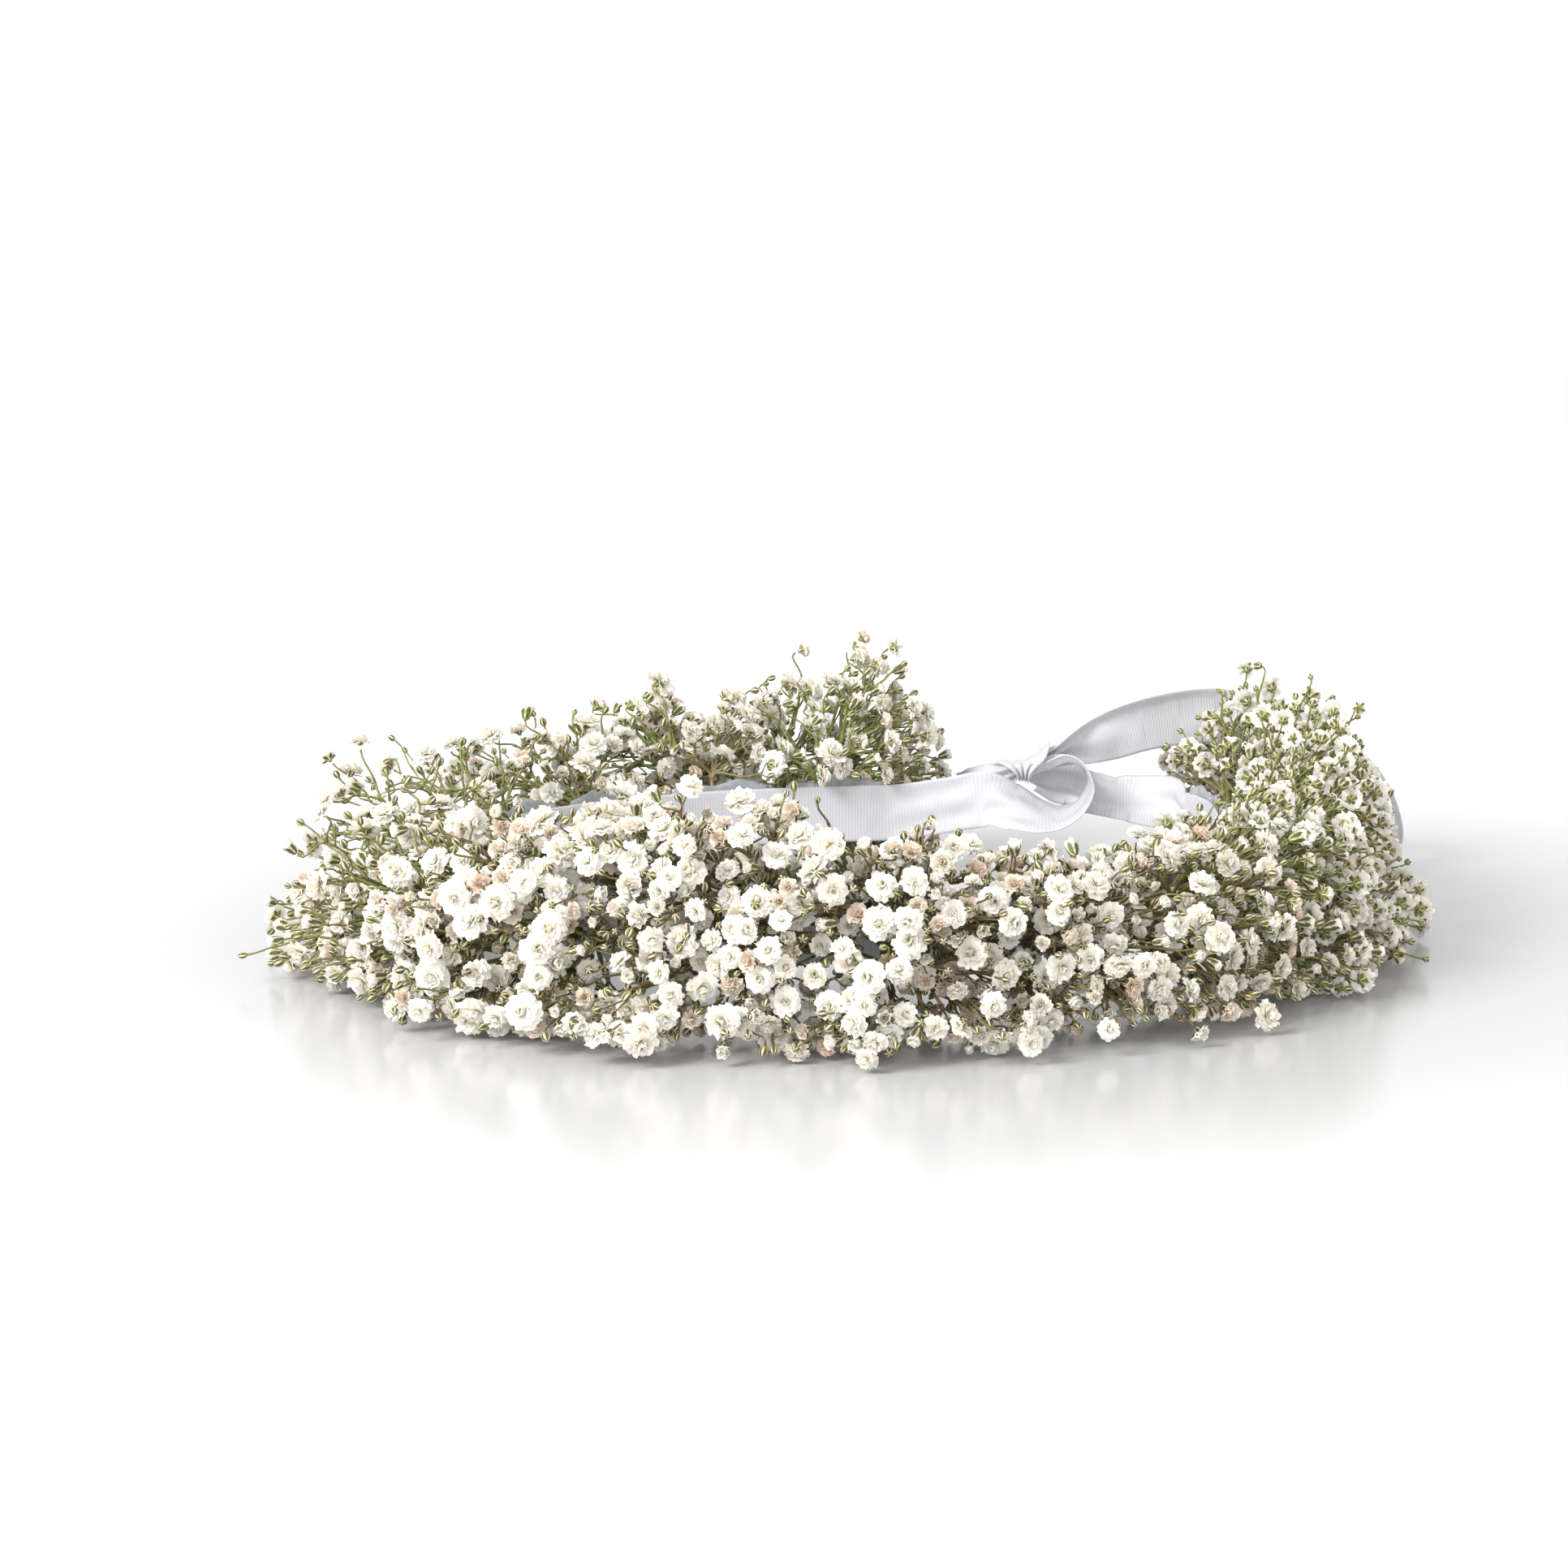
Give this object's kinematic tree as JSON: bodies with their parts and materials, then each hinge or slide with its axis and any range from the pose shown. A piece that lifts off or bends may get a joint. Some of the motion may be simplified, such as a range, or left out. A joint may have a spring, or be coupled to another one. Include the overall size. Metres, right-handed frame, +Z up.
{
  "type": "flower crown",
  "caption": "Open ring of double baby's breath sprays glued round a white grosgrain ribbon, whose bare ends are knotted at the back into a slack loop and loose tails.",
  "frame": {"origin": "on the table, under the middle of the crown's overall box", "axes": "+X to the right as seen from the front, which is the wearer's left, along the overall width and the longest extent, +Y to the knotted back, +Z up, the ribbon's width"},
  "size_m": [0.3176, 0.2944, 0.0652],
  "materials": {
    "ribbon": "white grosgrain with fine crosswise ribs and a soft sheen",
    "hot_glue": "translucent grey hot-melt glue, glossy and lumpy",
    "stems": "thin plant stems, green through olive to brown, dull",
    "blooms": "ruffled matte petals, white and cream with some aged to blush, green calyces"
  },
  "bodies": {
    "crown": {"ribbon_band": "ribbon", "ribbon_tie_left": "ribbon", "ribbon_tie_right": "ribbon", "ribbon_knot": "ribbon", "glue_bead_01": "hot_glue", "glue_bead_02": "hot_glue", "glue_bead_03": "hot_glue", "glue_bead_04": "hot_glue", "glue_bead_05": "hot_glue", "glue_bead_06": "hot_glue", "glue_bead_07": "hot_glue", "glue_bead_08": "hot_glue", "glue_bead_09": "hot_glue", "glue_bead_10": "hot_glue", "glue_bead_11": "hot_glue", "glue_bead_12": "hot_glue", "glue_bead_13": "hot_glue", "glue_bead_14": "hot_glue", "glue_bead_15": "hot_glue", "glue_bead_16": "hot_glue", "spray_01_stems": "stems", "spray_02_stems": "stems", "spray_03_stems": "stems", "spray_04_stems": "stems", "spray_05_stems": "stems", "spray_06_stems": "stems", "spray_07_stems": "stems", "spray_08_stems": "stems", "spray_09_stems": "stems", "spray_10_stems": "stems", "spray_11_stems": "stems", "spray_12_stems": "stems", "spray_13_stems": "stems", "spray_14_stems": "stems", "spray_15_stems": "stems", "spray_16_stems": "stems", "spray_01_blooms": "blooms", "spray_02_blooms": "blooms", "spray_03_blooms": "blooms", "spray_04_blooms": "blooms", "spray_05_blooms": "blooms", "spray_06_blooms": "blooms", "spray_07_blooms": "blooms", "spray_08_blooms": "blooms", "spray_09_blooms": "blooms", "spray_10_blooms": "blooms", "spray_11_blooms": "blooms", "spray_12_blooms": "blooms", "spray_13_blooms": "blooms", "spray_14_blooms": "blooms", "spray_15_blooms": "blooms", "spray_16_blooms": "blooms"},
    "tail_long": {"ribbon_tail_long": "ribbon"},
    "tail_short": {"ribbon_tail_short": "ribbon"}
  },
  "joints": [
    {"name": "tail_long_swing", "type": "hinge", "parent": "crown", "child": "tail_long", "pos_m": [0.04945, 0.09669, 0.033], "axis": [0, 0, 1], "range_deg": [0, 45]},
    {"name": "tail_short_swing", "type": "hinge", "parent": "crown", "child": "tail_short", "pos_m": [0.04945, 0.09669, 0.033], "axis": [0, 0, 1], "range_deg": [-35, 0]}
  ]
}
